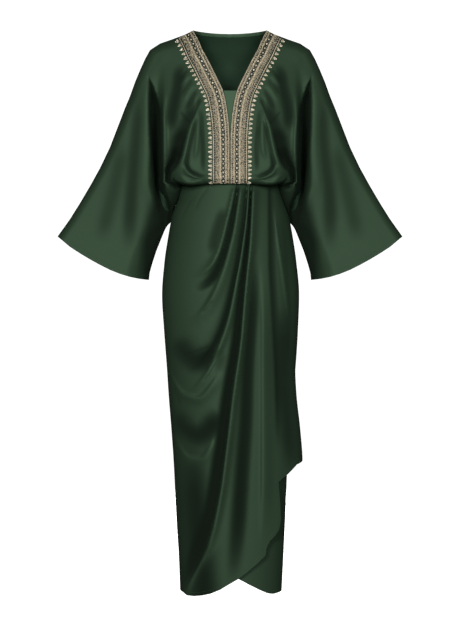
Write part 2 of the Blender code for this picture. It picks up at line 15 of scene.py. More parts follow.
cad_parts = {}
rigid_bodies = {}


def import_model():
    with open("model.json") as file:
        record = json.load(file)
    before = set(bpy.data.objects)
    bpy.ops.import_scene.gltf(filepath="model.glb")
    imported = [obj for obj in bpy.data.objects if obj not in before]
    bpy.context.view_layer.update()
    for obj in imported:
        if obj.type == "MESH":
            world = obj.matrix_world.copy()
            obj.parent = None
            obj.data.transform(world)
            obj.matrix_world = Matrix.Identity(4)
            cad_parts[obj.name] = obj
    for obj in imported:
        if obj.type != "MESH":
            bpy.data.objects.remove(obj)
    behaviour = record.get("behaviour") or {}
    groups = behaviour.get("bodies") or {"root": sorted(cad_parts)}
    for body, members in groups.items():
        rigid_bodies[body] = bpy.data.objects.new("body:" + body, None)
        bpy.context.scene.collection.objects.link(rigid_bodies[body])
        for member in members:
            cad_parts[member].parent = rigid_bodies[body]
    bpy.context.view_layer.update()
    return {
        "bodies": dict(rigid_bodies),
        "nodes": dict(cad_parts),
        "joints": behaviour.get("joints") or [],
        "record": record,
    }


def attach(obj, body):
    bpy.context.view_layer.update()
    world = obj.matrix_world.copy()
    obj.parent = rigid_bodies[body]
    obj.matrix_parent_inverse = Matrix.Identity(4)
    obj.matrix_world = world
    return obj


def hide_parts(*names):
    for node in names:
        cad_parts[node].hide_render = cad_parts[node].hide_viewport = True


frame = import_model()

# Sizes shared with the solids
UNIT = 0.0026
ROLL, ROLL_DROP, WAIST_DROP = 4.4, 150.7, 152.6
WAIST_WIDTH, WAIST_DEPTH, WAIST_GAP = 48.3, 85.0, 0.0005
PUFF_WIDTH, TUCK_WIDTH = 56.8, 55.9
SKIRT_SPAN, SKIRT_TOP = 87.0, 149.0
# Wall of the cloth and end of the bands, a little different from the solids
CLOTH, BAND_END = 0.0013, 155.8
# How wide the cloth rounds over at the sleeve seams, and the drop where the underarm is shut
OVERARM_ROUND, UNDERARM_ROUND, UNDERARM_SHUT = 8, 6.5, 156
# Width of the side drape's edge. Inner side of the sleeve: width, metres back, start, length
DRAPE_WIDTH = 12
TURN_WIDTH, TURN_BACK, TURN_DROP, TURN_LENGTH = 24, 0.045, 170, 50
# Sag of the waist: drop where it starts, drop where it fades beside the waist, fading length
SAG_DROP, SAG_END, SAG_FADE = 128, 152, 10
# The skirt's under layer: how much narrower, how far behind, and what it leaves of a fold
UNDER_INSET, UNDER_BEHIND, UNDER_SLACK = 2.2, 17, 2.8
# How far the modesty panel lies behind the fronts, and the stitch rows from their hems
PANEL_BEHIND, CUFF_ROW, HEM_ROW = 2.8, 4.2, 3.6

# The view: distance in metres, drop of its level line, drop of the camera, height of the picture
VIEW_DISTANCE, VIEW_DROP, CAMERA_DROP, PHOTO_HEIGHT = 6.0, 283.0, 283.5, 627

OVERARM = ((36.5, 0.5), (45, 4.5), (57, 9), (70, 13.5), (80, 20), (85, 29), (90, 40), (95, 52),
    (100, 66), (105, 78), (110, 91), (115, 104), (120, 117), (130, 138), (140, 156),
    (150, 173), (160, 189), (172.5, 206.5))
CUFF = ((172.5, 206.5), (160, 217), (150, 223.5), (140, 229.5), (130, 235), (120, 240),
    (110, 244), (100, 247), (90, 249), (81, 250))
UNDERARM = ((56.9, 152), (57.4, 165), (58.4, 176), (61, 188), (62.6, 195), (65.6, 201),
    (70, 212), (73.6, 221), (77.5, 233), (80.3, 243), (81, 250))
UNDERARM_BY_DROP = tuple((drop, out) for out, drop in UNDERARM)
NECKLINE = ((36.5, 0.5), (31.5, 10), (27, 20), (21.5, 30), (16.5, 40), (11.5, 50), (7, 60),
    (4.3, 70), (2.6, 80), (1.4, 90), (0.6, 100), (0.25, 110), (0.25, WAIST_DROP))
BACK_NECK = ((36.5, 0.5), (30, 1.8), (20, 3.1), (10, 3.8), (0, 4))

# Sag of the bloused waist at each distance out, and how far the side drape comes in below it
SAG = ((0, -2.4), (21, -2.4), (25, -2), (28, -1.1), (33, -0.1), (38, 0.9), (43, 0.9), (47, 0.4),
    (50, -0.6), (53, -1.6), (56, -3.4), (58, -4.4), (61, 0), (64, 0))
PULL = ((150, 0), (152, 0), (153.5, 6), (155, 10.5), (158, 11), (162, 10), (165, 8.6), (170, 7.0),
    (175, 5.4), (180, 4.3), (185, 3.7), (190, 3.3), (192.5, 2.6), (195, 0.6), (198, 0))
# How far the same edge lies behind the side seam, in millimetres
BEHIND = ((150, 0), (152, 0), (155, 15), (158, 30), (165, 34), (175, 34), (185, 30), (190, 26),
    (193, 20), (196, 10), (200, 4), (205, 0))
# The deep channel between the side drape and the sleeve: drop, inner edge, outer edge, share
CHANNEL = ((44, 82, 82.5, 0), (50, 79.5, 81.5, 0.4), (56, 76.5, 81, 0.7), (69, 72.3, 81, 1),
    (83, 69, 81, 1), (111, 68, 80, 1), (140, 66.8, 77.8, 1), (154, 66.5, 76.5, 1),
    (160, 67, 76, 1), (172, 64, 73.5, 0.9), (184, 61.5, 71, 0.6), (198, 63, 68, 0))
# Its depth in front and its fullness behind, in millimetres
CHANNEL_FRONT, CHANNEL_BACK = 42, 22
# Depth of a fold, in millimetres, over which painted shade makes its cloth go dark
PAINTED_SHADE_DEPTH = 5.0

# Sections of the bodice, distance out and depth: drop, then neck edge, band, chest, drape,
# valley, arm, outer sleeve and seam
FRONT_OUT = (
    (0, 36, 38, 40, 42, 44, 46, 48, 50),
    (9, 32, 37, 42, 47, 50, 53, 56, 60),
    (20, 27, 40, 50, 60, 65, 71, 77, 82),
    (32, 20, 42, 53, 63, 68, 74, 81, 88),
    (50, 11.5, 34, 50, 65, 72, 79, 88, 96),
    (70, 4.3, 27, 48, 65, 74, 82, 93, 103),
    (90, 1.5, 24.5, 48, 66, 72.5, 81, 97, 111),
    (120, 0, 21, 45, 66, 72.5, 81, 102, 122),
    (140, 0, 21, 45, 66, 72.5, 82, 107, 132),
    (153, 0, 21, 42, 65.6, 72.5, 82, 110, 139),
    (170, 0, 21, 42, 62.3, 68.5, 79, 110, 149),
    (192, 0, 21, 42, 56, 64, 77, 112, 164),
    (212, 0, 21, 42, 60, 71, 87, 117, 179),
    (250, 0, 21, 42, 66, 81, 98, 128, 205))
FRONT_DEPTH = (
    (0, 12, 14, 16, 18, 20, 21, 22, 23),
    (9, 30, 30, 30, 30, 30, 30, 30, 28),
    (20, 50, 49, 46, 42, 39, 35, 31, 28),
    (32, 68, 63, 57, 50, 46, 40, 34, 30),
    (50, 88, 86, 78, 62, 50, 46, 38, 32),
    (70, 101, 101, 94, 76, 42, 50, 43, 34),
    (90, 109, 111, 106, 84, 24, 52, 46, 34),
    (120, 114, 116, 113, 86, 12, 50, 46, 32),
    (140, 112, 115, 113, 74, 8, 48, 43, 30),
    (153, 108, 111, 109, 62, 7, 46, 41, 28),
    (170, 98, 100, 95, 42, 8, 42, 39, 26),
    (192, 80, 80, 60, 24, 14, 38, 38, 25),
    (212, 60, 60, 40, 24, 26, 38, 38, 26),
    (250, 50, 50, 30, 24, 28, 38, 38, 28))
BACK_OUT = (
    (0, 0, 15, 28, 36, 44, 50, 56, 62),
    (10, 0, 18, 32, 42, 50, 55, 58, 62),
    (20, 0, 20, 38, 52, 62, 70, 77, 82),
    (40, 0, 22, 42, 58, 68, 76, 84, 92),
    (70, 0, 24, 46, 63, 73, 82, 93, 103),
    (90, 0, 24, 47, 65, 73, 82, 97, 111),
    (120, 0, 22, 45, 65, 72.5, 81, 102, 122),
    (140, 0, 22, 45, 65, 73, 83, 107, 132),
    (153, 0, 21, 42, 63, 72, 83, 110, 139),
    (170, 0, 21, 42, 61, 67, 79, 110, 149),
    (192, 0, 21, 42, 56, 64, 78, 112, 164),
    *FRONT_OUT[-2:])
BACK_DEPTH = (
    (0, 62, 56, 42, 22, 22, 23, 24, 24),
    (10, 74, 70, 56, 40, 34, 31, 29, 28),
    (20, 84, 82, 72, 54, 42, 36, 32, 28),
    (40, 100, 101, 92, 70, 50, 42, 36, 32),
    (70, 108, 110, 104, 80, 46, 50, 43, 34),
    (90, 108, 111, 106, 84, 36, 52, 46, 34),
    (120, 106, 109, 106, 82, 26, 50, 46, 32),
    (140, 104, 108, 105, 70, 20, 48, 43, 30),
    (153, 102, 106, 102, 58, 18, 46, 41, 28),
    (170, 95, 98, 92, 40, 16, 42, 39, 26),
    (192, 80, 80, 60, 26, 22, 38, 38, 25),
    *FRONT_DEPTH[-2:])

# Rings of the skirt: drop, left, right, front depth, back depth, right side of the over layer
SKIRT_RINGS = (
    (146, 48.3, 48.3, 85, 85, 48.3),
    (154, 48.3, 48.3, 85, 85, 48.3),
    (160, 49.2, 49.6, 87.6, 90, 49.6),
    (170, 51.8, 52.6, 92, 97, 52.6),
    (180, 56.0, 56.5, 96, 104, 56.5),
    (190, 58.8, 59.6, 100, 110, 59.6),
    (210, 62.4, 63.3, 106, 119, 63.3),
    (230, 65.4, 66.2, 110, 125, 66.2),
    (265, 68.0, 69.2, 112, 126, 69.2),
    (300, 66.0, 68.0, 111, 121, 68.0),
    (340, 63.0, 65.4, 108, 112, 65.4),
    (362, 61.6, 62.8, 107, 108, 66.4),
    (400, 58.6, 59.4, 105, 104, 70.4),
    (430, 56.5, 57.6, 104, 101, 72.6),
    (490, 53.5, 55.2, 103, 99, 73.0),
    (530, 51.0, 53.2, 102, 98, 73.0),
    (570, 49.6, 51.2, 101, 97, 73.0))
OVER_HEM = ((-50, 559), (-47, 562), (-43, 565.4), (-36, 566.2), (-28, 565.6), (-20, 564),
    (-10, 560), (0, 554), (8.5, 549), (15, 544), (21, 539), (27, 534), (32, 529),
    (35.6, 525), (36.4, 518), (40, 511), (45, 506), (49, 500), (51, 490),
    (50, 470), (48.6, 452), (53, 448), (57, 445), (62, 440), (67, 434.5), (72.6, 430))
UNDER_HEM = ((-59, 425), (-40, 470), (-22, 515), (-5, 541), (8.5, 549), (20, 555), (30, 560),
    (38, 563.4), (43, 564), (48, 562.5), (51.3, 560))
BACK_HEM = ((-50, 559), (-30, 553), (0, 547), (30, 553), (51.4, 560))

# Trim: distances from the neck edge and pitches in units, other sizes in millimetres
# Cords of slanted stitches: distance, pitch, half width, lift, slant
CORDS = ((0.9, 0.85, 1.3, 1.5, 0.7), (3.9, 0.85, 1.4, 1.5, -0.7), (9.4, 0.8, 1.7, 1.7, 0.6),
    (16.4, 0.85, 1.35, 1.5, 0.6))
# Strips filled with small stitches: distance, pitch, share left out so that the ground shows
STRIPS = ((1.8, 1.2, 0.1), (2.5, 2.4, 0.0), (3.2, 1.3, 0.1), (4.7, 1.3, 0.12), (8.5, 1.2, 0.12),
    (10.3, 0.9, 0.04), (11.1, 1.2, 0.1), (12.0, 1.0, 0.06), (12.9, 1.3, 0.12),
    (13.8, 1.0, 0.06))
GROUND_WIDTH = 17.3
BEAD_ROW, BEAD_PITCH = 6.6, 4.83
SEED_ROW, SEED_PITCH = 15.0, 2.4
PICOT_ROW, PICOT_PITCH = 17.9, 4.72
# Beads of one picot: place along and out from its foot in units, radius
PICOT = ((-1.15, 0.5, 1.35), (0.0, 0.7, 1.5), (1.15, 0.5, 1.35), (-0.7, 1.7, 1.85), (0.7, 1.7, 1.85),
    (0.0, 2.9, 2.3))

# Folds: height in millimetres, width before and behind the line, the line as x and drop in turn,
# and where the width changes, how many times it is wider at the end. Before means smaller x, for
# a line that runs down.
BODICE_FOLDS = (
    (-9, 5.2, 5.6, (50, 30, 51, 42, 52.5, 56, 56, 72, 59, 90, 58, 104)),
    (8, 2.4, 2.6, (31, 62, 35, 84, 40, 105, 44, 122, 49, 135, 53, 146), 1.6),
    (-11, 1.3, 8, (27, 62, 33, 76, 37, 86, 42.5, 97, 47.3, 112, 50.5, 126, 56, 138, 61, 146)),
    (-15, 1.5, 9, (42.5, 97, 47.3, 112, 50.5, 126, 56, 138, 61, 146, 62, 158)),
    (-34, 3.4, 3.6, (52.5, 115, 54, 126, 58.2, 135, 62, 142, 62.6, 150, 61.5, 162), 0.5),
    (-14, 1, 1.6, (31.5, 80, 36.5, 100, 39.7, 114, 42.2, 127, 43.2, 134.5, 40, 140.5, 34, 144.5,
        27, 148, 19, 150.5)),
    (9, 1.4, 2.6, (46, 133, 43, 140.5, 36.5, 145.7, 28, 149.4, 19, 151.8)),
    (5, 2.4, 2.4, (31, 84, 32, 100, 33.5, 118, 36, 132)),
    (-6, 1.4, 1.4, (29, 74, 28, 98, 27, 120, 27, 138, 24, 146)),
    (13, 3, 1.2, (66, 60, 67, 75, 66.6, 90, 66.2, 110, 65.8, 140, 66, 150, 66.5, 157, 66, 163,
        63.6, 170, 61, 177, 60, 186)),
    (-3, 0.9, 0.9, (51, 80, 46, 86, 40, 94)),
    (-3.4, 1.4, 1.2, (42, 38, 47, 45, 52, 51)),
    (2.4, 1.5, 1.5, (40, 43, 46, 51, 51, 58)),
    (-3.6, 1.4, 1.2, (37, 47, 43, 55, 49, 65)),
    (2.6, 1.6, 1.6, (35, 52, 41, 61, 46, 71)),
    (-3.8, 1.4, 1.2, (32, 57, 38, 67, 44, 80)),
    (2.8, 1.6, 1.6, (31, 62, 36, 73, 41, 84)),
    (-4, 1.2, 1.2, (29, 67, 33, 78, 37, 90)),
    (-7, 1.2, 1.6, (43, 145, 38, 147.5, 31, 150, 20, 151.8)),
    (5, 1.8, 1.8, (52, 146, 44, 150, 34, 152.5, 22, 153.8)),
    (-5, 1.2, 1.4, (55, 151.5, 46, 153, 36, 154.5, 21, 155.6)),
    (4, 6, 6, (85, 40, 85, 80, 85, 120, 87, 180)),
    (-5, 6, 6, (90, 50, 92, 85, 95, 120, 99, 170, 102, 225)),
    (-2.5, 7, 7, (106, 110, 118, 165, 131, 215)))
BACK_FOLDS = (
    (5, 5, 3.6, (20, 50, 26, 85, 34, 120, 40, 148)),
    (-6, 3.6, 4.4, (28, 60, 35, 95, 44, 130, 54, 150)),
    (4, 4.4, 4.4, (8, 90, 9, 120, 10, 148)),
    (-3, 1.6, 1.6, (14, 100, 15, 125, 17, 149)),
    (-3, 1.2, 1.2, (3, 118, 4, 135, 4, 150)),
    (-3, 1.4, 1.4, (31, 112, 35, 132, 38, 149)),
    (3, 1.8, 1.8, (27, 110, 29, 130, 31, 148)),
    (-22, 3.6, 3.6, (50, 124, 54, 134, 58.5, 146, 58.5, 160)),
    (4, 6, 6, (84, 45, 84, 80, 84, 120, 86, 160)),
    (-5, 5, 5, (91, 60, 95, 125, 99, 172, 102, 225)),
    (-3, 6, 6, (110, 112, 118, 160, 130, 212)))
SKIRT_FOLDS = (
    (-5, 5, 4, (-3, 176, -9, 188, -14, 202, -17, 215, -18, 228)),
    (9, 2.6, 1.6, (5.5, 156, 1.5, 175, -2.6, 190, -7, 209, -12, 224, -18, 235, -27, 243,
        -38, 247), 1.8),
    (-17, 1.9, 0.9, (8, 156, 4.6, 180, 1, 200, -3, 216, -7.5, 231, -13, 243, -20, 252, -29, 258,
        -39, 260), 2.6),
    (11, 1.4, 4.6, (11, 156, 7.4, 180, 4, 200, -1, 220, -6, 238, -11, 252, -17, 265, -24, 277,
        -32, 286, -44, 291), 1.8),
    (-18, 1.5, 0.8, (17.2, 156, 14.8, 185, 11.3, 210, 8.3, 230, 4.3, 250, 0.3, 270, -4, 287,
        -10, 304, -17, 318, -26, 330, -36, 338, -48, 340), 3),
    (11, 0.9, 2.3, (18.8, 156, 16.8, 185, 13.6, 210, 10.6, 230, 6.6, 250, 2.6, 270, -1.4, 288,
        -7, 306, -13, 321, -19, 336, -28, 350, -38, 361, -52, 367), 2.2),
    (-24, 1.7, 0.8, (21.4, 156, 18, 210, 14.4, 240, 11.2, 270, 6.9, 315, 2.8, 340, -0.6, 360,
        -5.8, 400, -10.2, 432, -15, 462, -20, 487, -28, 512, -44, 545, -66, 590), 5),
    (13, 0.9, 5, (23.2, 156, 20.4, 210, 17.4, 240, 14.4, 270, 10.6, 315, 6.6, 340, 3.6, 360,
        -1.2, 400, -5.2, 432, -9.2, 462, -14.4, 487, -19, 508, -25, 524, -39, 550, -58, 584,
        -86, 630)),
    (-14, 4, 4, (25, 205, 23, 270, 20, 310, 17.5, 350, 16, 390, 13, 430, 8, 500, 1, 565), 1.6),
    (8, 2, 8, (32, 230, 33, 300, 33, 360, 33, 430, 32, 520)),
    (-11, 1.3, 4.4, (40, 156, 40.4, 190, 41, 235, 43, 270, 45, 310, 47, 350, 49, 424), 1.3),
    (5, 1.4, 2.2, (42, 168, 47.2, 206, 51.7, 234, 56, 265, 60, 300)),
    (-5, 3.2, 4, (52, 172, 57, 225, 60, 290, 60, 350)),
    (-12, 7, 8, (54, 270, 56, 345, 60, 400, 65, 450)),
    (-1.8, 1.4, 1.4, (-17, 270, -23, 279, -30, 285)),
    (-1.8, 1.4, 1.4, (-14, 332, -20, 343, -28, 353)),
    (-12, 10, 10, (-58, 306, -47, 324, -35, 331, -23, 330, -12, 316)),
    (7, 6, 2.2, (-66, 330, -57, 351, -45, 365, -32, 368, -19, 356, -8, 338)),
    (-13, 9, 9, (-60, 378, -48, 399, -34, 406, -20, 398, -10, 380)),
    (6, 6, 3, (-64, 392, -54, 413, -42, 428, -30, 430, -20, 418, -12, 398)),
    (-14, 15, 11, (-42, 405, -37, 470, -31, 530, -27, 570, -22, 680)),
    (-1.6, 1.2, 1.2, (-50, 325, -35, 322, -17, 315)),
    (-2.4, 1.4, 1.4, (-59, 348, -55, 362, -50, 378)),
    (-2.4, 1.7, 1.7, (-56, 425, -52, 460, -49, 500)),
    (-0.8, 1.5, 1.5, (20, 455, 10, 466, 2, 475)),
    (-1.6, 1.4, 1.4, (-35, 165, -43, 176, -50, 192)),
    (-1.3, 1.4, 1.4, (-22, 158, -30, 168, -36, 182)))
SKIRT_BACK_FOLDS = (
    (5, 5, 5, (-12, 160, -16, 240, -20, 340, -22, 470)),
    (-6, 4, 5, (-24, 158, -31, 250, -35, 360, -36, 500)),
    (6, 5, 4, (10, 160, 13, 260, 17, 380, 20, 520)),
    (-5, 4.5, 4.5, (26, 158, 32, 240, 37, 350, 38, 520)),
    (-4, 4.5, 4.5, (-1, 200, -3, 300, -2, 430)),
    (-2, 1.4, 1.4, (6, 156, 8, 200, 9, 240)),
    (-2, 1.4, 1.4, (-18, 156, -22, 205, -24, 250)),
    (-2.5, 5, 5, (44, 170, 50, 260, 50, 380, 44, 520)),
    (-2.5, 5, 5, (-44, 170, -50, 260, -50, 380, -43, 520)))
SKIRT_TABLES = {"over": SKIRT_FOLDS, "under": SKIRT_FOLDS, "back": SKIRT_BACK_FOLDS}


def through(x, y, at):
    """Smooth curve through stations x, y (last axis), read at one place for each row."""
    at = np.asarray(at, float)
    x = np.broadcast_to(np.asarray(x, float), at.shape + (np.shape(x)[-1],))
    y = np.broadcast_to(np.asarray(y, float), x.shape)
    width = np.maximum(np.diff(x), 1e-6)
    rise = np.diff(y) / width
    product = rise[..., :-1] * rise[..., 1:]
    total = rise[..., :-1] + rise[..., 1:]
    middle = np.where(product > 0, 2 * product / np.where(total == 0, 1, total), 0)
    slope = np.concatenate([rise[..., :1], middle, rise[..., -1:]], axis=-1)
    cell = np.clip((x <= at[..., None]).sum(-1) - 1, 0, x.shape[-1] - 2)[..., None]
    near = [np.take_along_axis(a, cell, -1)[..., 0] for a in (x, width, y, slope)]
    far = [np.take_along_axis(a, cell + 1, -1)[..., 0] for a in (y, slope)]
    t = share_of((at - near[0]) / near[1])
    return ((1 + 2 * t) * (1 - t) ** 2 * near[2] + t * (1 - t) ** 2 * near[1] * near[3]
            + t * t * (3 - 2 * t) * far[0] + t * t * (t - 1) * near[1] * far[1])


def column(table, index, at):
    """One column of a table of sections, read at any drop."""
    rows = np.array(table, float)
    return through(rows[:, 0], rows[:, index], at)


def away(points, line):
    """Distance of each point from a line, the side it lies on, and how far along it is."""
    line = np.array(line, float)
    start, step = line[:-1], np.diff(line, axis=0)
    length = np.hypot(*step.T)
    offset = points[:, None, :] - start
    t = share_of((offset * step).sum(-1) / length**2)
    gap = offset - t[..., None] * step
    distance = np.hypot(gap[..., 0], gap[..., 1])
    nearest = distance.argmin(1)
    rows = np.arange(len(points))
    ahead, aside = step[nearest].T, gap[rows, nearest].T
    side = np.sign(ahead[0] * aside[1] - ahead[1] * aside[0])
    share = (np.cumsum(length) - length)[nearest] + t[rows, nearest] * length[nearest]
    return distance[rows, nearest], side, share / length.sum()


def share_of(value):
    """A value held between 0 and 1."""
    return np.clip(value, 0, 1)


def rounded(distance, radius):
    """0 on a seam, rising like a quarter circle to 1 at the radius."""
    t = share_of(1 - distance / radius)
    return np.sqrt(1 - t * t)


def eased_step(share):
    """0 to 1 with soft ends."""
    share = share_of(share)
    return share * share * (3 - 2 * share)


def run_of(line):
    """Length along a line up to each of its points."""
    return np.concatenate([[0], np.cumsum(np.hypot(*np.diff(line, axis=0).T))])


def eased(line, count=24):
    """A fold's line with its corners smoothed."""
    line = np.array(line, float).reshape(-1, 2)
    length = run_of(line)
    at = np.linspace(0, length[-1], count)
    return np.stack([through(length, line[:, i], at) for i in (0, 1)], 1)


def folds(points, table, open_top=False):
    """Sum of the soft ridges and troughs at each point, in millimetres."""
    total = np.zeros(len(points))
    for height, before, behind, line, *grow in table:
        line = eased(line)
        grow = grow[0] if grow else 1
        reach = 3 * max(before, behind) * max(grow, 1)
        low, high = line.min(0) - reach, line.max(0) + reach
        near = ((points > low) & (points < high)).all(1)
        if near.any():
            distance, side, share = away(points[near], line)
            width = np.where(side > 0, before, behind) * (1 + (grow - 1) * share)
            from_top = open_top and line[0, 1] < 160
            ends = share_of((1 - share if from_top else np.minimum(share, 1 - share)) * 4)
            creased = height < 0 and max(before, behind) < 1.7
            profile = np.exp(-distance / (0.8 * width) if creased else -((distance / width) ** 2))
            total[near] += height * eased_step(ends) * profile
    return total


def placed(x, y, drop):
    """Points from view x (units), depth y (metres) and drop (units), with no perspective."""
    scale = 1 + y / VIEW_DISTANCE
    z = -(VIEW_DROP + (drop - VIEW_DROP) * scale) * UNIT
    return np.stack([x * UNIT * scale, y, z], 1)


def bodice_depth(out, drop, front):
    """Depth of the body and sleeve at a distance out and a drop, before its edges close."""
    outs, depths = (FRONT_OUT, FRONT_DEPTH) if front else (BACK_OUT, BACK_DEPTH)
    x = np.stack([column(outs, i, drop) for i in range(1, 9)], 1)
    y = np.stack([column(depths, i, drop) for i in range(1, 9)], 1)
    return through(x, y, np.maximum(out, x[:, 0]))


def bodice_fold(points, front):
    """Height of the bodice's folds in millimetres, and the share of the deep channel."""
    x, drop = points.T
    out = np.abs(x)
    wander = np.where(x > 0, 0.9 * np.sin(drop / 15) - 0.4, 0)
    there = np.stack([out + wander, drop], 1)
    fold = folds(there, BODICE_FOLDS if front else BACK_FOLDS)
    fold *= rounded(np.maximum(out - 20.5, 0), 4)
    share = column(CHANNEL, 3, drop) * (drop < 198) * (drop > 44)
    edges = [column(CHANNEL, i, drop) for i in (1, 2)]
    hollow = share * eased_step((out - edges[0]) / 1.2) * eased_step((edges[1] + 1 - out) / 3.5)
    return fold, hollow, share


def bodice_painted_shade(points, front):
    """Painted shade at each point, from 0 to 1: deep in a fold, and on the fronts in the channel and
    on the inner side of the sleeve.
    """
    fold, hollow, _ = bodice_fold(points, front)
    out, drop = np.abs(points[:, 0]), points[:, 1]
    # Painted shade on the sleeve's inner side below the chest, where it turns away from the lamps
    start = np.interp(drop, (100, 140, 180, 210), (80, 83, 88, 95))
    inner = share_of((start - out) / 13) * eased_step((drop - 140) / 45) * (out > 58)
    # Painted shade grows with the depth of a fold; on the fronts the channel and the sleeve's inner
    # side are painted dark too
    dark = 1 - np.exp(np.minimum(fold, 0) / PAINTED_SHADE_DEPTH)
    return share_of(dark + (hollow + 0.9 * eased_step(inner) if front else 0))


def bodice_surface(points, front):
    """The bodice's outer face. Below the waist it rolls under to the skirt's top edge."""
    x, drop = points.T
    out = np.abs(x)
    start = np.where(out < PUFF_WIDTH, ROLL_DROP, 999)
    turn = np.clip((drop - start) / ROLL, 0, math.pi)
    level = np.minimum(drop, start)
    here = np.stack([out, level], 1)
    fold, hollow, share = bodice_fold(np.stack([x, level], 1), front)
    depth = bodice_depth(out, level, front) + fold
    # The underarm seam closes a little below the waist roll, out of sight behind it
    open_top = np.clip(UNDERARM_SHUT - level, 0, 5)
    depth *= (rounded(away(here, OVERARM)[0], OVERARM_ROUND)
              * rounded(away(here, UNDERARM)[0] + open_top, UNDERARM_ROUND))
    if front:
        depth -= CHANNEL_FRONT * hollow
    else:
        depth += CHANNEL_BACK * share * np.exp(-(((out - 73) / 5.5) ** 2))
    face = -1 if front else 1
    inset = (1 - np.cos(turn)) / 2
    share = np.clip(x / TUCK_WIDTH, -1, 1)
    waist_x = share * (WAIST_WIDTH + WAIST_GAP / UNIT)
    waist_y = (WAIST_DEPTH + 1000 * WAIST_GAP) * np.sqrt(1 - share**2)
    y = face * ((depth * (1 - inset) + waist_y * inset) * 0.001)
    fall = np.where(turn > 0, start + ROLL * np.sin(turn), drop)
    lowered = share_of((drop - SAG_DROP) / (ROLL_DROP - SAG_DROP)) ** 2 * (1 - inset)
    lowered *= np.where(out >= PUFF_WIDTH, share_of(1 - (drop - SAG_END) / SAG_FADE), 1)
    fall += column(SAG, 1, out) * lowered
    from_edge = out - column(UNDERARM_BY_DROP, 1, drop)
    beside = np.where(out >= PUFF_WIDTH, share_of(1 - from_edge / DRAPE_WIDTH), 0)
    x = x - np.sign(x) * column(PULL, 1, drop) * beside
    y = y + column(BEHIND, 1, drop) * 0.001 * eased_step(beside)
    inward = share_of(1 - from_edge / TURN_WIDTH) ** 1.5 * (out >= PUFF_WIDTH)
    y = y + TURN_BACK * eased_step((drop - TURN_DROP) / TURN_LENGTH) * inward
    return placed(x + (waist_x - x) * inset, y, fall)


def skirt_place(points, layer):
    """Place across the view, angle round the ring and depth of the folds of a skirt layer."""
    around, drop = points.T
    angle = around / SKIRT_SPAN * math.pi / 2
    inside = np.zeros(len(points))
    if layer == "under":
        inside = UNDER_INSET * (1 - share_of((drop - 400) / 35) * share_of(angle))
    right = column(SKIRT_RINGS, 5 if layer == "over" else 2, drop)
    width = np.where(angle < 0, column(SKIRT_RINGS, 1, drop), right) - inside
    x = width * np.sin(angle)
    fold = folds(np.stack([x, drop], 1), SKIRT_TABLES[layer], True)
    fold *= share_of((drop - 154) / 8) * np.cos(angle)
    if layer == "under":
        # Only the deepest troughs of the over layer press the under layer in
        fold = np.minimum(fold + UNDER_SLACK, 0)
    return x, angle, fold


def skirt_painted_shade(points, layer):
    """Painted shade of each point of a skirt layer, from 0 to 1, growing with the depth of its fold.
    """
    return 1 - np.exp(np.minimum(skirt_place(points, layer)[2], 0) / PAINTED_SHADE_DEPTH)


def skirt_surface(points, layer):
    """A layer of the skirt: its place round the ring is the first number of each point."""
    drop = points[:, 1]
    x, angle, fold = skirt_place(points, layer)
    deep = column(SKIRT_RINGS, 4 if layer == "back" else 3, drop)
    if layer == "under":
        deep = deep - UNDER_BEHIND * np.clip((drop - 150) / 30, 0.25, 1)
    face = 1 if layer == "back" else -1
    y = face * (deep * np.cos(angle) * 0.001 + fold * 0.001)
    return placed(x, y, drop)


def on_ring(line, index):
    """A line seen from the front, laid out flat on the skirt's ring."""
    x, drop = np.array(line, float).T
    width = np.where(x < 0, column(SKIRT_RINGS, 1, drop), column(SKIRT_RINGS, index, drop))
    around = SKIRT_SPAN * np.arcsin(np.clip(x / width, -1, 1)) / (math.pi / 2)
    return np.stack([around, drop], 1)


def spaced(line, step):
    """Points at even steps along a line, its ends kept."""
    line = np.array(line, float)
    length = run_of(line)
    at = np.linspace(0, length[-1], max(1, round(length[-1] / step)) + 1)
    return np.stack([np.interp(at, length, line[:, i]) for i in (0, 1)], 1)


def joined(step, *lines):
    """One closed outline from lines that each start where the last one ends."""
    return np.concatenate([spaced(line, step)[:-1] for line in lines])


def heading(line):
    """Direction of a line at each of its points."""
    along = np.gradient(line, axis=0)
    return along / np.hypot(*along.T)[:, None]


def sideways(way):
    """Each direction after a quarter turn."""
    return np.stack([way[:, 1], -way[:, 0]], 1)


def inset_line(line, distance):
    """A copy of a line moved sideways, its ends cut back."""
    line = np.asarray(line, float)
    return (line - sideways(heading(line)) * distance)[1:-1]


def within(points, outline):
    """Which points lie in an outline."""
    result = np.zeros(len(points), bool)
    a, b = outline, np.roll(outline, -1, axis=0)
    rise = np.where(a[:, 1] == b[:, 1], 1, b[:, 1] - a[:, 1])
    for first in range(0, len(points), 4000):
        x, y = points[first:first + 4000, :1], points[first:first + 4000, 1:]
        crosses = (a[:, 1] > y) != (b[:, 1] > y)
        beyond = x < (b[:, 0] - a[:, 0]) * (y - a[:, 1]) / rise + a[:, 0]
        result[first:first + 4000] = (crosses & beyond).sum(1) % 2 == 1
    return result


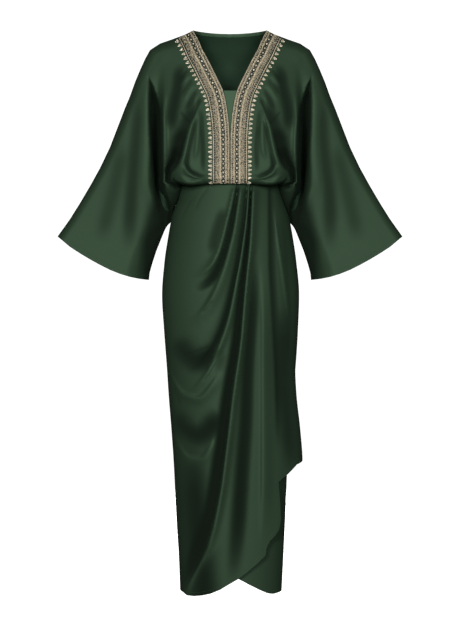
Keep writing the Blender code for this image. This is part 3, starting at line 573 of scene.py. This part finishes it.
def pattern(outline, step, guides=()):
    """Flat net of a panel: its outline, rows that follow its edges, and even filling."""
    fixed = [tuple(p) for p in outline]
    rows = [g[within(g, outline)] for g in guides]
    fixed += [tuple(p) for g in rows for p in g]
    tree = kdtree.KDTree(len(fixed))
    for i, point in enumerate(fixed):
        tree.insert((*point, 0), i)
    tree.balance()
    kept = np.zeros(len(fixed), bool)
    for i, point in enumerate(fixed):
        close = 0.12 * step if i < len(outline) else 0.25 * step
        kept[i] = i < len(outline) or not any(
            kept[j] for _, j, _ in tree.find_range((*point, 0), close) if j != i)
    low, high = outline.min(0), outline.max(0)
    grid = np.array([(x + step / 2 * (k % 2), y)
                     for k, y in enumerate(np.arange(low[1], high[1], step * 0.866))
                     for x in np.arange(low[0] - step, high[0] + step, step)])
    grid = grid[within(grid, outline)]
    clear = [tree.find((*p, 0))[2] > 0.6 * step for p in grid]
    points = np.concatenate([np.array(fixed)[kept], grid[clear]])
    count = len(outline)
    edges = [(i, (i + 1) % count) for i in range(count)]
    found = delaunay_2d_cdt([tuple(p) for p in points], edges, [list(range(count))], 1, 1e-6)
    return np.array([tuple(v) for v in found[0]]), np.array(found[2])


def length_of(vectors):
    """Length of each vector, as a column."""
    return np.linalg.norm(vectors, axis=1, keepdims=True)


def facing(points, faces):
    """Direction in which each face looks, as long as twice its area."""
    corner = points[faces]
    return np.cross(corner[:, 1] - corner[:, 0], corner[:, 2] - corner[:, 0])


def normals(points, faces):
    """Outward direction at each point, averaged over the faces round it."""
    cross = facing(points, faces)
    total = np.zeros_like(points)
    for i in range(3):
        np.add.at(total, faces[:, i], cross)
    return total / np.maximum(length_of(total), 1e-12)


def outward(points, faces):
    """Faces turned so that they look away from the garment's axis."""
    cross = facing(points, faces)
    return faces if cross[:, 1].sum() * points[:, 1].mean() > 0 else faces[:, ::-1]


def rim_of(faces):
    """Edges that only one face uses."""
    ends = np.concatenate([faces[:, [0, 1]], faces[:, [1, 2]], faces[:, [2, 0]]])
    known = {tuple(e) for e in ends.tolist()}
    return np.array([e for e in ends.tolist() if (e[1], e[0]) not in known])


def walled(outer, inner, faces):
    """A closed wall between two faces that share one net, and its crisp edges."""
    count = len(outer)
    rim = rim_of(faces)
    a, b = rim.T
    sides = np.concatenate([np.stack([b, a, a + count], 1), np.stack([b, a + count, b + count], 1)])
    shape = np.concatenate([faces, faces[:, ::-1] + count, sides])
    return np.concatenate([outer, inner]), shape, np.concatenate([rim, rim + count])


def seam_safe(outer, direction, wall):
    """Inner points of a wall. Along a side seam the wall stays on its own side of the seam."""
    inner = outer - direction * wall
    close = np.abs(outer[:, 1]) < 0.002
    level = direction * (1, 0, 1)
    level /= np.maximum(length_of(level), 0.2)
    inner[close] = (outer - level * wall)[close]
    return inner


def new_object(name, data):
    """An object in the scene, for a mesh, lamp or camera."""
    made = bpy.data.objects.new(name, data)
    bpy.context.scene.collection.objects.link(made)
    return made


def make_object(name, points, faces, materials, crisp=None, indices=None):
    """A smooth-shaded mesh object. Edges in crisp stay sharp."""
    mesh = bpy.data.meshes.new(name)
    mesh.from_pydata(points.tolist(), [], faces.tolist())
    mesh.update()
    mesh.polygons.foreach_set("use_smooth", np.ones(len(mesh.polygons), bool))
    if crisp is not None:
        ends = np.empty(2 * len(mesh.edges), np.int64)
        mesh.edges.foreach_get("vertices", ends)
        ends = np.sort(ends.reshape(-1, 2), axis=1)
        wanted = np.sort(np.asarray(crisp), axis=1)
        size = len(points)
        sharp = np.isin(ends[:, 0] * size + ends[:, 1], wanted[:, 0] * size + wanted[:, 1])
        mesh.edges.foreach_set("use_edge_sharp", sharp)
    for material in materials:
        mesh.materials.append(material)
    if indices is not None:
        mesh.polygons.foreach_set("material_index", np.asarray(indices, np.int32))
    return new_object(name, mesh)


# Floor height, and the sweep's flat radius, bend and top, in metres
FLOOR = -1.62
SWEEP_FLAT, SWEEP_BEND, SWEEP_TOP = 11, 2, 9
# Light: world strength, glow of the sweep, the lamps' aim, and lamps with place, size and power
WORLD_LIGHT = 0.04
SWEEP_GLOW = 1.12
LAMP_AIM = Vector((0, 0, -0.6))
LAMPS = (("key", (-1.3, -5.3, 0.5), (1.0, 1.8), 192), ("fill", (1.4, -5.3, 0.3), (1.0, 1.8), 138),
         ("back", (0, 5.3, 0.4), (1.6, 1.8), 190))


def link(output, target):
    """Joins two sockets of a material."""
    output.id_data.links.new(output, target)


def tune(made, **values):
    """Sets inputs of a shader node by name."""
    for key, value in values.items():
        made.inputs[key.replace("_", " ")].default_value = value
    return made


def node(material, kind, **values):
    """A shader node with its inputs set by name."""
    return tune(material.node_tree.nodes.new("ShaderNode" + kind), **values)


def weave_bump(material, place, scale, strength, depth):
    """Fine crossed threads and a little unevenness, as a normal."""
    across = node(material, "TexWave", Scale=scale, Distortion=0.6, Detail=1.0)
    across.bands_direction = "DIAGONAL"
    down = node(material, "TexWave", Scale=scale * 0.4, Distortion=0.4, Detail=1.0)
    down.bands_direction = "Z"
    crumple = node(material, "TexNoise", Scale=38.0, Detail=4.0, Roughness=0.55)
    for texture in (across, down, crumple):
        link(place.outputs["Object"], texture.inputs["Vector"])
    threads = node(material, "Math")
    threads.operation = "ADD"
    link(across.outputs["Fac"], threads.inputs[0])
    link(down.outputs["Fac"], threads.inputs[1])
    fine = node(material, "Bump", Strength=strength, Distance=depth)
    link(threads.outputs[0], fine.inputs["Height"])
    soft = node(material, "Bump", Strength=0.22, Distance=0.0012)
    link(crumple.outputs["Fac"], soft.inputs["Height"])
    link(fine.outputs["Normal"], soft.inputs["Normal"])
    return soft.outputs["Normal"]


def varied(material, place, first, second, scale, low=0.3, high=0.7):
    """A colour that drifts between two shades."""
    noise = node(material, "TexNoise", Scale=scale, Detail=3.0, Roughness=0.5)
    link(place.outputs["Object"], noise.inputs["Vector"])
    ramp = node(material, "ValToRGB")
    ramp.color_ramp.elements[0].position = low
    ramp.color_ramp.elements[0].color = (*first, 1)
    ramp.color_ramp.elements[1].position = high
    ramp.color_ramp.elements[1].color = (*second, 1)
    link(noise.outputs["Fac"], ramp.inputs["Fac"])
    return ramp.outputs["Color"], noise.outputs["Fac"]


def new_material(name):
    """A material, its shader and its texture coordinates."""
    material = bpy.data.materials.new(name)
    material.use_nodes = True
    shader = material.node_tree.nodes["Principled BSDF"]
    place = node(material, "TexCoord")
    return material, shader, place


def satin(name, first, second, rough=0.66, shine=0.45):
    """Heavy satin: broad green gloss and fine weave, with painted shade deep in a fold, where it is
    also duller.
    """
    material, shader, place = new_material(name)
    colour, drift = varied(material, place, first, second, 2.2)
    # Painted shade: a value stored at each point mixes the colour towards a near-black copy of it
    # and raises the roughness
    depth = node(material, "Attribute")
    depth.attribute_name = "painted_fold_shade"
    painted_shade_mix = node(material, "Mix")
    painted_shade_mix.data_type = "RGBA"
    painted_shade_mix.inputs[7].default_value = (*(0.04 * c for c in first), 1)
    link(depth.outputs["Fac"], painted_shade_mix.inputs["Factor"])
    link(colour, painted_shade_mix.inputs[6])
    link(painted_shade_mix.outputs[2], shader.inputs["Base Color"])
    spread = node(material, "MapRange", To_Min=rough - 0.04, To_Max=rough + 0.04)
    link(drift, spread.inputs["Value"])
    duller = node(material, "Mix", B=1.0)
    link(depth.outputs["Fac"], duller.inputs["Factor"])
    link(spread.outputs["Result"], duller.inputs["A"])
    link(duller.outputs["Result"], shader.inputs["Roughness"])
    link(weave_bump(material, place, 620.0, 0.12, 0.0002), shader.inputs["Normal"])
    tune(shader, Specular_IOR_Level=shine, Specular_Tint=(0.62, 1.0, 0.66, 1))
    return material


def thread(name, first, second, metallic, rough, scale):
    """Metallic thread, tape or beads, a little uneven in colour."""
    material, shader, place = new_material(name)
    colour, _ = varied(material, place, first, second, scale, 0.35, 0.65)
    link(colour, shader.inputs["Base Color"])
    link(weave_bump(material, place, 300.0, 0.25, 0.0003), shader.inputs["Normal"])
    tune(shader, Metallic=metallic, Roughness=rough)
    return material


GREEN = satin("green_satin", (0.0160, 0.0315, 0.0168), (0.0190, 0.0375, 0.0200))
GREEN_IN = satin("green_satin_inside", (0.010, 0.024, 0.013), (0.012, 0.029, 0.016), 0.7, 0.3)
PANEL_GREEN = satin("panel_satin", (0.038, 0.072, 0.041), (0.046, 0.084, 0.049), 0.65, 0.4)
GROUND = thread("trim_ground", (0.006, 0.014, 0.008), (0.018, 0.024, 0.014), 0.0, 0.7, 260.0)
GOLD = thread("gold_thread", (0.54, 0.45, 0.30), (0.90, 0.78, 0.56), 0.3, 0.42, 300.0)
BEAD = thread("champagne_bead", (0.66, 0.57, 0.41), (0.95, 0.87, 0.70), 0.4, 0.3, 150.0)
STITCH = thread("sewing_thread", (0.020, 0.045, 0.024), (0.032, 0.065, 0.036), 0.0, 0.5, 200.0)
TAPE = thread("neck_tape", (0.040, 0.085, 0.045), (0.055, 0.11, 0.06), 0.0, 0.5, 200.0)


def add_panel(name, net, surface, material, shade=None):
    """A cloth panel that stands for its solid, with painted shade in its folds."""
    points = surface(net[0])
    faces = outward(points, net[1])
    direction = normals(points, faces)
    inner = seam_safe(points, direction, CLOTH)
    shape = walled(points, inner, faces)
    index = np.zeros(len(shape[1]), int)
    index[len(faces):2 * len(faces)] = 1
    piece = make_object(f"{name}_cloth", shape[0], shape[1], [material, GREEN_IN], shape[2], index)
    # Painted shade: how dark each point is painted deep in a fold, kept on the mesh for the satin's
    # colour
    depth = piece.data.attributes.new("painted_fold_shade", "FLOAT", "POINT")
    shade = np.zeros(len(points)) if shade is None else shade
    depth.data.foreach_set("value", np.concatenate([shade, shade]))
    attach(piece, "root")
    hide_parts(name)


def edge_rows(line, inward, step):
    """Rows of points that follow a rounded seam."""
    fine = spaced(line, step)
    return [inset_line(fine, inward * distance) for distance in (0.25, 0.8, 1.7, 3.0, 4.6)]


def bodice_outline(step, front):
    """Half of the bodice, from the neck round to the waist and back up the overarm."""
    centre = NECKLINE if front else ((0, 4), (0, WAIST_DROP))
    tuck = ROLL_DROP + ROLL * math.pi
    x = centre[-1][0]
    return joined(step, centre, ((x, WAIST_DROP), (x, tuck)), ((x, tuck), (TUCK_WIDTH, tuck)),
                  ((TUCK_WIDTH, tuck), (56.3, 152)), ((56.3, 152), UNDERARM[0]), UNDERARM,
                  CUFF[::-1], OVERARM[::-1])


def fold_rows(table, step):
    """Rows of points along each crisp fold, so that its edge comes out smooth."""
    rows = []
    for _, before, behind, line, *_ in table:
        if min(before, behind) < 1.7:
            line = spaced(eased(line), step * 0.8)
            rows += [line, inset_line(line, 0.9 * before), inset_line(line, -0.9 * behind)]
    return rows


def bodice_rows(step, front):
    """Rows along the seams, the channel and the crisp folds, and round the waist roll."""
    rows = edge_rows(OVERARM, 1, step) + edge_rows(UNDERARM, -1, step)
    drops = np.arange(48, 192, step * 0.8)
    for index, shifts in ((1, (0, 0.6, 1.2)), (2, (1, -0.7, -2.4))):
        rows += [np.stack([column(CHANNEL, index, drops) + shift, drops], 1) for shift in shifts]
    rows += fold_rows(BODICE_FOLDS if front else BACK_FOLDS, step)
    for turn in np.linspace(0, 0.92, 9):
        level = ROLL_DROP + ROLL * math.pi * turn
        rows.append(spaced(((0.6, level), (55.2, level)), step))
    return rows


def build_fronts(step=1.5):
    """The two fronts, each in one with its sleeve front."""
    net = pattern(bodice_outline(step, True), step, bodice_rows(step, True))
    for side, label in ((-1, "right"), (1, "left")):
        flat = net[0] * (side, 1)
        add_panel(f"bodice_front_{label}", (flat, net[1]), lambda p: bodice_surface(p, True), GREEN,
                  shade=bodice_painted_shade(flat, True))


def build_back(step=1.8):
    """The back, in one with both sleeve backs."""
    half = bodice_outline(step, False)
    neck = spaced(BACK_NECK, step)
    right = half[np.argmin(np.hypot(half[:, 0], half[:, 1] - ROLL_DROP - ROLL * math.pi)):]
    outline = np.concatenate([right, neck[:-1], neck[::-1] * (-1, 1), right[::-1][:-1] * (-1, 1)])
    outline = outline[np.concatenate([[True], np.hypot(*np.diff(outline, axis=0).T) > 1e-6])]
    rows = bodice_rows(step, False)
    net = pattern(outline, step, rows + [r * (-1, 1) for r in rows])
    add_panel("bodice_back", net, lambda p: bodice_surface(p, False), GREEN,
              shade=bodice_painted_shade(net[0], False))


def build_modesty_panel(step=2.0):
    """The small panel behind the point of the V."""
    outline = spaced(((-17, 60.6), (17, 60.6), (11, 145), (-11, 145), (-17, 60.6)), step)[:-1]

    def surface(points):
        x, drop = points.T
        edge = column(FRONT_OUT, 1, drop)
        depth = bodice_depth(np.maximum(np.abs(x), edge), drop, True) - PANEL_BEHIND
        return placed(x, -depth * 0.001, drop)

    add_panel("modesty_panel", pattern(outline, step), surface, PANEL_GREEN)


def build_skirt():
    """The two front layers of the wrap, and the back."""
    span, top = SKIRT_SPAN, SKIRT_TOP
    for name, layer, hem, index, step in (
            ("skirt_front_over", "over", OVER_HEM, 5, 1.6),
            ("skirt_front_under", "under", UNDER_HEM, 2, 3.0),
            ("skirt_back", "back", BACK_HEM, 2, 2.6)):
        laid = on_ring(hem, index)
        laid[0, 0], laid[-1, 0] = -span, span
        outline = joined(step, ((-span, top), (-span, laid[0, 1])), laid,
                         ((span, laid[-1, 1]), (span, top)), ((span, top), (-span, top)))
        rows = [] if layer == "under" else fold_rows(SKIRT_TABLES[layer], step)
        rows = [on_ring(row, index) for row in rows]
        net = pattern(outline, step, rows)
        add_panel(name, net, lambda p, layer=layer: skirt_surface(p, layer), GREEN,
                  shade=skirt_painted_shade(net[0], layer))


def offset_line(distance, count=500):
    """A line along the band, at a distance from the neck edge, from the shoulder to the waist."""
    edge = eased(NECKLINE[:-1] + ((0.25, BAND_END),), count)
    line = edge + sideways(heading(edge)) * distance
    line[:, 1] = np.minimum(line[:, 1], BAND_END)
    return line


def stations(distance, pitch, start=0.5):
    """Points on the flat band at an even pitch, and the line's direction at each."""
    line = offset_line(distance)
    length = run_of(line)
    at = np.arange(start * pitch, length[-1], pitch)
    spot = np.stack([np.interp(at, length, line[:, i]) for i in (0, 1)], 1)
    along = np.gradient(line, axis=0)
    way = np.stack([np.interp(at, length, along[:, i]) for i in (0, 1)], 1)
    return spot, way / np.hypot(*way.T)[:, None]


def frames(spot, way, surface, lift, face=-1):
    """Place, along, across and up directions in space of points on a flat net."""
    step = 0.2
    laid = [surface(p) for p in (spot, spot + way * step, spot + sideways(way) * step)]
    forward = laid[1] - laid[0]
    forward /= length_of(forward)
    up = np.cross(forward, laid[2] - laid[0])
    up /= length_of(up)
    up *= np.where(up[:, 1:2] * face < 0, -1, 1)
    return laid[0] + up * np.asarray(lift).reshape(-1, 1), forward, np.cross(up, forward), up


def round_shape(segments, rings):
    """A unit ball as points and triangles."""
    polar = [math.pi * i / rings for i in range(1, rings)]
    turns = [2 * math.pi * j / segments for j in range(segments)]
    points = [(0, 0, 1), *((math.sin(p) * math.cos(t), math.sin(p) * math.sin(t), math.cos(p))
                           for p in polar for t in turns), (0, 0, -1)]
    faces = []
    for j in range(segments):
        k = (j + 1) % segments
        faces.append((0, 1 + j, 1 + k))
        for i in range(rings - 2):
            a, b = 1 + i * segments, 1 + (i + 1) * segments
            faces += [(a + j, b + j, b + k), (a + j, b + k, a + k)]
        last = 1 + (rings - 2) * segments
        faces.append((last + j, len(points) - 1, last + k))
    return np.array(points, float), np.array(faces)


def scattered(shape, frame, size, tilt):
    """Many copies of a shape, each at its frame, sized along, across and up, and turned."""
    place, forward, across, up = frame
    tilt = np.broadcast_to(tilt, len(place))[:, None]
    ahead = forward * np.cos(tilt) + across * np.sin(tilt)
    beside = across * np.cos(tilt) - forward * np.sin(tilt)
    size = np.broadcast_to(size, (len(place), 3))
    local = shape[0][None] * size[:, None]
    points = (place[:, None] + local[..., :1] * ahead[:, None] + local[..., 1:2] * beside[:, None]
              + local[..., 2:] * up[:, None])
    faces = shape[1][None] + (np.arange(len(place)) * len(shape[0]))[:, None, None]
    return points.reshape(-1, 3), faces.reshape(-1, 3)


def merged(groups):
    """Several point and face lists as one."""
    first = np.cumsum([0] + [len(points) for points, _ in groups])
    faces = [faces + count for (_, faces), count in zip(groups, first)]
    return np.concatenate([points for points, _ in groups]), np.concatenate(faces)


def add_trim(name, groups, material):
    """Many small things as one piece."""
    piece = make_object(name, *merged(groups), [material])
    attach(piece, "root")


def build_band(side, label, chance):
    """The trim on one front: ground strip, cords, stitched strips, beads and picot loops."""
    def lay(p):
        return bodice_surface(p * (side, 1), True)

    # Ground: a thin strip from the neck edge to the outer cord
    inner, outer = offset_line(0.0), offset_line(GROUND_WIDTH)
    step = 2.0
    outline = joined(step, inner, (inner[-1], outer[-1]), outer[::-1], (outer[0], inner[0]))
    net = pattern(outline, step)
    surface = lay(net[0])
    faces = outward(surface, net[1])
    out = normals(surface, faces)
    wall = walled(surface + out * 0.0009, surface + out * 0.0002, faces)
    ground = make_object(f"band_{label}_ground", wall[0], wall[1], [GROUND], wall[2])
    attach(ground, "root")
    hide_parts(f"neck_band_{label}")

    ball, grain = round_shape(10, 6), round_shape(6, 4)
    mm = 0.001
    stitches = []
    for distance, pitch, wide, lift, slant in CORDS:
        spot, way = stations(distance, pitch)
        count = len(spot)
        size = np.array([[pitch * 1.5, wide, 0.9]]) * mm * chance.uniform(0.85, 1.12, (count, 1))
        tilt = slant + chance.normal(0, 0.1, count)
        stitches.append(scattered(grain, frames(spot, way, lay, lift * mm), size, tilt))
    for distance, pitch, missing in STRIPS:
        spot, way = stations(distance, pitch, chance.uniform(0.2, 0.8))
        kept = chance.uniform(0, 1, len(spot)) > missing
        spot, way = spot[kept], way[kept]
        spot = spot + chance.normal(0, 0.11, spot.shape)
        count = len(spot)
        size = np.stack([chance.uniform(0.95, 1.6, count), chance.uniform(0.7, 1.15, count),
                         np.full(count, 0.8)], 1) * mm
        lift = chance.uniform(1.1, 1.6, count) * mm
        tilt = chance.uniform(-1.3, 1.3, count)
        stitches.append(scattered(grain, frames(spot, way, lay, lift), size, tilt))
    add_trim(f"band_{label}_stitches", stitches, GOLD)

    # Beads: a row along the middle, seed beads by the cords, and the picot clusters
    beads = []
    spot, way = stations(BEAD_ROW, BEAD_PITCH)
    size = chance.uniform(2.1, 2.6, (len(spot), 1)) * mm * np.array([[1.15, 0.9, 0.8]])
    beads.append(scattered(ball, frames(spot, way, lay, 1.9 * mm), size, 0.0))
    spot, way = stations(BEAD_ROW, BEAD_PITCH, 1.0)
    for shift, wide in ((-1.1, 0.9), (1.1, 0.9)):
        place = spot + sideways(way) * shift
        beads.append(scattered(grain, frames(place, way, lay, 1.4 * mm),
                               np.array([0.9, wide, 0.8]) * mm, chance.uniform(-1, 1, len(spot))))
    spot, way = stations(SEED_ROW, SEED_PITCH)
    size = np.array([1.1, 0.9, 0.8]) * mm
    beads.append(scattered(grain, frames(spot, way, lay, 1.3 * mm), size, 0.0))
    line, course = stations(PICOT_ROW, PICOT_PITCH)
    for ahead, beyond, wide in PICOT:
        place = line + course * ahead + sideways(course) * beyond
        place += chance.normal(0, 0.12, line.shape)
        size = wide * chance.uniform(0.88, 1.12, (len(place), 1)) * mm * np.array([[1, 1, 0.85]])
        beads.append(scattered(ball, frames(place, course, lay, 1.5 * mm), size, 0.0))
    add_trim(f"band_{label}_beads", beads, BEAD)


def build_binding():
    """The narrow satin tape inside the back neckline."""
    top = spaced(BACK_NECK, 1.2)
    top = np.concatenate([top, (top[::-1] * (-1, 1))[1:]])
    rows = [top + (0, fall) for fall in (0.0, 0.8, 1.6, 2.4, 3.2)]
    net_points = np.concatenate(rows)
    wide = len(top)
    quads = [(r * wide + i, r * wide + i + 1, (r + 1) * wide + i + 1, (r + 1) * wide + i)
             for r in range(len(rows) - 1) for i in range(wide - 1)]
    net_faces = np.array([t for a, b, c, d in quads for t in ((a, b, c), (a, c, d))])
    surface = bodice_surface(net_points, False)
    faces = outward(surface, net_faces)
    out = normals(surface, faces)
    bulge = np.repeat([1.8, 2.2, 2.3, 2.2, 1.8], wide)[:, None] * 0.001
    wall = walled(surface - out * 0.0015, surface - out * bulge, faces[:, ::-1])
    piece = make_object("neck_binding_tape", wall[0], wall[1][:, ::-1], [TAPE], wall[2])
    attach(piece, "root")
    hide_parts("back_neck_binding")


def hem_stitches(name, line, surface, face, pitch=1.25):
    """A row of small stitches beside a hem, on the cloth's face."""
    line = spaced(line, pitch)
    place = frames(line, heading(line), surface, 0.00015, face)
    stitch = scattered(round_shape(6, 4), place, np.array([0.0011, 0.0004, 0.0004]), 0.0)
    piece = make_object(name, *stitch, [STITCH])
    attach(piece, "root")


def build_hems():
    """Stitched hems round the cuffs, along the wrap's free edge and round the bottom."""
    for front, label, face in ((True, "front", -1), (False, "back", 1)):
        for side, hand in ((-1, "right"), (1, "left")):
            cuff = inset_line(spaced(CUFF, 2.0), CUFF_ROW) * (side, 1)
            hem_stitches(f"cuff_stitches_{hand}_{label}", cuff,
                         lambda p: bodice_surface(p, front), face)
    for layer, hem, index, face in (("over", OVER_HEM, 5, -1), ("back", BACK_HEM, 2, 1)):
        line = on_ring(inset_line(spaced(hem, 3.0), -HEM_ROW), index)
        hem_stitches(f"hem_stitches_{layer}", line,
                     lambda p, layer=layer: skirt_surface(p, layer), face)


def studio():
    """Pale seamless floor, soft light from the front, and a long lens level with the middle."""
    scene = bpy.context.scene
    world = bpy.data.worlds.new("studio")
    scene.world = world
    world.use_nodes = True
    background = world.node_tree.nodes["Background"]
    tune(background, Color=(0.95, 0.98, 0.96, 1), Strength=WORLD_LIGHT)
    scene.view_settings.view_transform = "Standard"
    # Round floor that sweeps up on every side, so that the garment can be looked at from anywhere
    bend = [(math.sin(a) * SWEEP_BEND + SWEEP_FLAT, -math.cos(a) * SWEEP_BEND + FLOOR + SWEEP_BEND)
            for a in np.linspace(0, math.pi / 2, 13)]
    profile = [(0.0004, FLOOR), *bend, (SWEEP_FLAT + SWEEP_BEND, SWEEP_TOP)]
    count = 96
    turns = np.linspace(0, 2 * math.pi, count, endpoint=False)
    points = np.array([(r * math.cos(t), r * math.sin(t), z) for r, z in profile for t in turns])
    faces = np.array([f for i in range(len(profile) - 1) for j in range(count)
                      for a, b in [(count * i + j, count * i + (j + 1) % count)]
                      for f in ((a, b, b + count), (a, b + count, a + count))])
    material, shader, place = new_material("pale_sweep")
    colour, _ = varied(material, place, (0.90, 0.90, 0.895), (0.93, 0.93, 0.925), 1.5)
    link(colour, shader.inputs["Base Color"])
    link(colour, shader.inputs["Emission Color"])
    tune(shader, Emission_Strength=SWEEP_GLOW, Roughness=0.95, Specular_IOR_Level=0.0)
    sweep = make_object("sweep", points, faces, [material])
    sweep.visible_glossy = False
    sweep.visible_diffuse = False
    for name, place, size, power in LAMPS:
        light = bpy.data.lights.new(name, "AREA")
        light.shape = "RECTANGLE"
        light.size, light.size_y = size
        light.energy = power
        lamp = new_object(name, light)
        lamp.location = place
        lamp.rotation_euler = (LAMP_AIM - Vector(place)).to_track_quat("-Z", "Y").to_euler()
    lens = bpy.data.cameras.new("camera")
    camera = new_object("camera", lens)
    lens.sensor_width = 36.0
    lens.lens = lens.sensor_width * VIEW_DISTANCE / (PHOTO_HEIGHT * UNIT)
    camera.location = (0, -VIEW_DISTANCE, -CAMERA_DROP * UNIT)
    camera.rotation_euler = (math.pi / 2, 0, 0)
    scene.camera = camera


studio()
build_fronts()
build_back()
build_modesty_panel()
build_skirt()
for number, (side, label) in enumerate(((-1, "right"), (1, "left"))):
    build_band(side, label, np.random.default_rng(7 + number))
build_binding()
build_hems()
